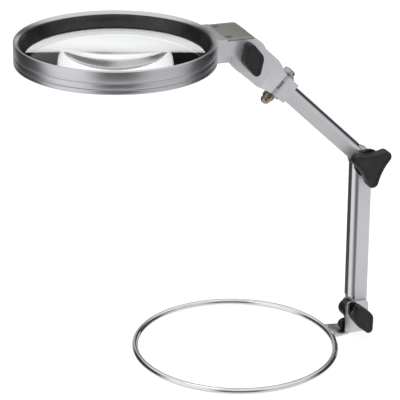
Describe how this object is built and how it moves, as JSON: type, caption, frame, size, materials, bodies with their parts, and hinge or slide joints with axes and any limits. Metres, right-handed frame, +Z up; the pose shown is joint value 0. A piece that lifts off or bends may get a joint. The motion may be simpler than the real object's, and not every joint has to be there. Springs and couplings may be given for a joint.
{
  "type": "folding stand magnifier",
  "caption": "Hands-free stand magnifier: wire ring base, upright and upper arm of channel on clamped hinges, a wrist swivel, and a round lens in a deep metal rim.",
  "frame": {"origin": "on the desk, on the underside of the base tab, directly below the base hinge's axis", "axes": "+Z up; -X towards the lens, which the arm carries over the ring; -Y the side of the hand knobs"},
  "size_m": [0.2837, 0.1582, 0.2567],
  "materials": {
    "chrome_wire": "bright chrome plate on steel",
    "satin_plate": "satin silver finish on pressed sheet",
    "channel_steel": "satin sides and bright web",
    "cast_silver": "silver enamel on an aluminium casting",
    "cover_grey": "dull grey enamel",
    "rim_silver": "turned and satin anodised",
    "black_plastic": "fine moulded texture",
    "bolt_steel": "zinc plate",
    "brass": "dull nickel brass",
    "white_slip": "nylon",
    "rubber": "soft black",
    "lens_glass": "polished, clear"
  },
  "bodies": {
    "base": {"base_ring": "chrome_wire", "base_bracket": "satin_plate", "base_knuckle": "black_plastic", "base_washers": "bolt_steel", "base_bolt": "bolt_steel"},
    "base_knob": {"base_knob": "black_plastic", "base_knob_insert": "brass"},
    "upright": {"upright_channel": "channel_steel", "middle_spacer": "bolt_steel", "middle_slip_washers": "white_slip", "middle_washer": "bolt_steel", "middle_bolt": "bolt_steel"},
    "middle_knob": {"middle_knob": "black_plastic", "middle_knob_insert": "brass"},
    "upper_arm": {"arm_channel": "channel_steel", "friction_disc": "black_plastic", "arm_collar": "cast_silver", "wrist_washers": "bolt_steel", "wrist_bolt": "bolt_steel", "wrist_acorn_nut": "brass"},
    "neck": {"wrist_neck": "cast_silver", "neck_bush": "bolt_steel"},
    "head": {"head_bracket": "cast_silver", "bracket_cover": "cover_grey", "cover_screws": "bolt_steel", "head_slip_washers": "white_slip", "head_washers": "bolt_steel", "head_bolt": "bolt_steel", "lens_rim": "rim_silver", "rim_screws": "bolt_steel", "lens_retaining_ring": "rim_silver", "lens_gasket": "white_slip", "lens_liner": "black_plastic", "lens": "lens_glass"},
    "head_knob": {"head_knob": "black_plastic", "head_knob_insert": "brass"}
  },
  "joints": [
    {"name": "base_hinge", "type": "hinge", "parent": "base", "child": "upright", "pos_m": [0, 0, 0.016], "axis": [0, 1, 0], "range_deg": [-90, 10]},
    {"name": "middle_hinge", "type": "hinge", "parent": "upright", "child": "upper_arm", "pos_m": [0.00065, 0, 0.14312], "axis": [0, -1, 0], "range_deg": [-45, 60]},
    {"name": "wrist_swivel", "type": "hinge", "parent": "upper_arm", "child": "neck", "pos_m": [-0.07015, 0, 0.2103], "axis": [0.6884, 0, 0.7254], "range_deg": [-30, 30]},
    {"name": "head_tilt", "type": "hinge", "parent": "neck", "child": "head", "pos_m": [-0.10207, 0, 0.24059], "axis": [0, 1, 0], "range_deg": [-60, 44]},
    {"name": "base_knob_turn", "type": "hinge", "parent": "base", "child": "base_knob", "pos_m": [0, 0, 0.016], "axis": [0, 1, 0], "continuous": true},
    {"name": "middle_knob_turn", "type": "hinge", "parent": "upright", "child": "middle_knob", "pos_m": [0.00065, 0, 0.14312], "axis": [0, 1, 0], "continuous": true},
    {"name": "head_knob_turn", "type": "hinge", "parent": "head", "child": "head_knob", "pos_m": [-0.10207, 0, 0.24059], "axis": [0, 1, 0], "continuous": true}
  ]
}
